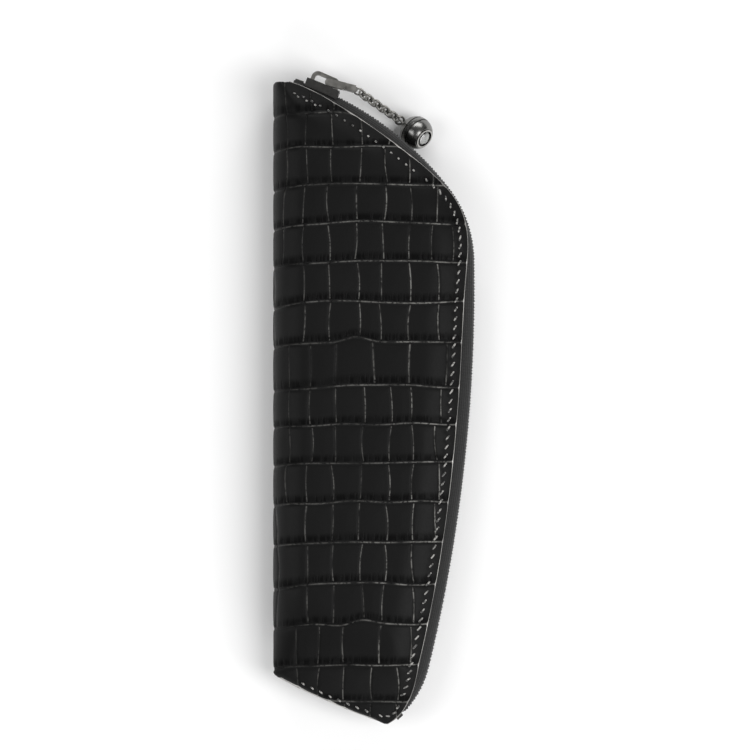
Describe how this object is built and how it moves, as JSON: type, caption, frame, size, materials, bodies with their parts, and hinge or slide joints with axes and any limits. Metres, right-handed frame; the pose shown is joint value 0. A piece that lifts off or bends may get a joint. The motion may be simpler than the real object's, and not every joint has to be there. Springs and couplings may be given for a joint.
{
  "type": "fountain pen case",
  "caption": "Slim tapered leather pen case with croc embossing, zip round the slanted end and one long side, and a pull with a fine chain and ball charm.",
  "frame": {"origin": "middle of the flat of the back panel, on the face the case rests on", "axes": "+Z out of the front panel, +Y to the slanted zip end, +X from the spine to the zip side"},
  "size_m": [0.0534, 0.1719, 0.02],
  "materials": {
    "embossed_leather": "semi-gloss embossed",
    "suede": "napped",
    "fibre_board": "matt",
    "lining_cloth": "woven",
    "zip_tape": "woven",
    "nylon_coil": "satin",
    "thread": "waxed",
    "dark_plated_metal": "dark plated, polished",
    "polished_dark_metal": "dark plated, polished",
    "bright_bezel": "polished",
    "pearl_inlay": "pearly, polished",
    "clear_dome": "clear"
  },
  "bodies": {
    "case": {"cover_leather": "embossed_leather", "back_board": "fibre_board", "back_lining": "lining_cloth", "spine_lining": "lining_cloth", "pen_tongue": "suede", "tape_back": "zip_tape", "tape_front_end": "zip_tape", "coil_back": "nylon_coil", "coil_front_end": "nylon_coil", "top_stop_front": "dark_plated_metal", "top_stop_back": "dark_plated_metal", "bottom_stop": "dark_plated_metal", "stitch_back": "thread", "stitch_seam": "thread"},
    "flap": {"flap_leather": "embossed_leather", "flap_board": "fibre_board", "flap_lining": "lining_cloth", "tape_front": "zip_tape", "coil_front": "nylon_coil", "stitch_front": "thread"},
    "slider": {"slider_body": "dark_plated_metal", "slider_bridge": "dark_plated_metal"},
    "pull": {"pull_link": "dark_plated_metal"},
    "link_01": {"link_01": "dark_plated_metal"},
    "link_02": {"link_02": "dark_plated_metal"},
    "link_03": {"link_03": "dark_plated_metal"},
    "link_04": {"link_04": "dark_plated_metal"},
    "link_05": {"link_05": "dark_plated_metal"},
    "link_06": {"link_06": "dark_plated_metal"},
    "link_07": {"link_07": "dark_plated_metal"},
    "link_08": {"link_08": "dark_plated_metal"},
    "link_09": {"link_09": "dark_plated_metal"},
    "link_10": {"link_10": "dark_plated_metal"},
    "charm": {"charm_body": "polished_dark_metal", "charm_bezel": "bright_bezel", "charm_inlay": "pearl_inlay", "charm_dome": "clear_dome", "charm_eye": "dark_plated_metal"}
  },
  "joints": [
    {"name": "flap_open", "type": "hinge", "parent": "case", "child": "flap", "pos_m": [-0.00874, 0.08115, 0.02], "axis": [0.0902, -0.9959, 0], "range_deg": [0, 50]},
    {"name": "slider_travel", "type": "hinge", "parent": "case", "child": "slider", "pos_m": [-0.04725, 0.00537, 0.01], "axis": [0, 0, -1], "range_deg": [0, 26], "deforming": ["coil_back", "coil_front_end", "coil_front"]},
    {"name": "pull_swing", "type": "hinge", "parent": "slider", "child": "pull", "pos_m": [-0.01198, 0.08521, 0.01], "axis": [0, 0, 1], "range_deg": [0, 100]},
    {"name": "link_01_swing", "type": "hinge", "parent": "pull", "child": "link_01", "pos_m": [-0.00314, 0.08226, 0.00883], "axis": [0.6735, 0.4047, 0.6185], "range_deg": [0, 18]},
    {"name": "link_02_swing", "type": "hinge", "parent": "link_01", "child": "link_02", "pos_m": [-0.00206, 0.08155, 0.00811], "axis": [-0.0997, -0.7794, 0.6185], "range_deg": [0, 18]},
    {"name": "link_03_swing", "type": "hinge", "parent": "link_02", "child": "link_03", "pos_m": [-0.00097, 0.08084, 0.00739], "axis": [0.6735, 0.4047, 0.6185], "range_deg": [0, 18]},
    {"name": "link_04_swing", "type": "hinge", "parent": "link_03", "child": "link_04", "pos_m": [0.00012, 0.08013, 0.00667], "axis": [-0.0997, -0.7794, 0.6185], "range_deg": [0, 18]},
    {"name": "link_05_swing", "type": "hinge", "parent": "link_04", "child": "link_05", "pos_m": [0.0012, 0.07942, 0.00596], "axis": [0.6735, 0.4047, 0.6185], "range_deg": [0, 18]},
    {"name": "link_06_swing", "type": "hinge", "parent": "link_05", "child": "link_06", "pos_m": [0.00229, 0.07871, 0.00524], "axis": [-0.0997, -0.7794, 0.6185], "range_deg": [0, 18]},
    {"name": "link_07_swing", "type": "hinge", "parent": "link_06", "child": "link_07", "pos_m": [0.00338, 0.078, 0.00452], "axis": [0.6735, 0.4047, 0.6185], "range_deg": [0, 18]},
    {"name": "link_08_swing", "type": "hinge", "parent": "link_07", "child": "link_08", "pos_m": [0.00447, 0.07729, 0.0038], "axis": [-0.0997, -0.7794, 0.6185], "range_deg": [0, 18]},
    {"name": "link_09_swing", "type": "hinge", "parent": "link_08", "child": "link_09", "pos_m": [0.00555, 0.07658, 0.00308], "axis": [0.6735, 0.4047, 0.6185], "range_deg": [0, 18]},
    {"name": "link_10_swing", "type": "hinge", "parent": "link_09", "child": "link_10", "pos_m": [0.00664, 0.07587, 0.00236], "axis": [-0.0997, -0.7794, 0.6185], "range_deg": [0, 18]},
    {"name": "charm_swing", "type": "hinge", "parent": "link_10", "child": "charm", "pos_m": [0.00773, 0.07516, 0.00164], "axis": [0.6589, 0.6771, 0.3277], "range_deg": [0, 30]}
  ]
}
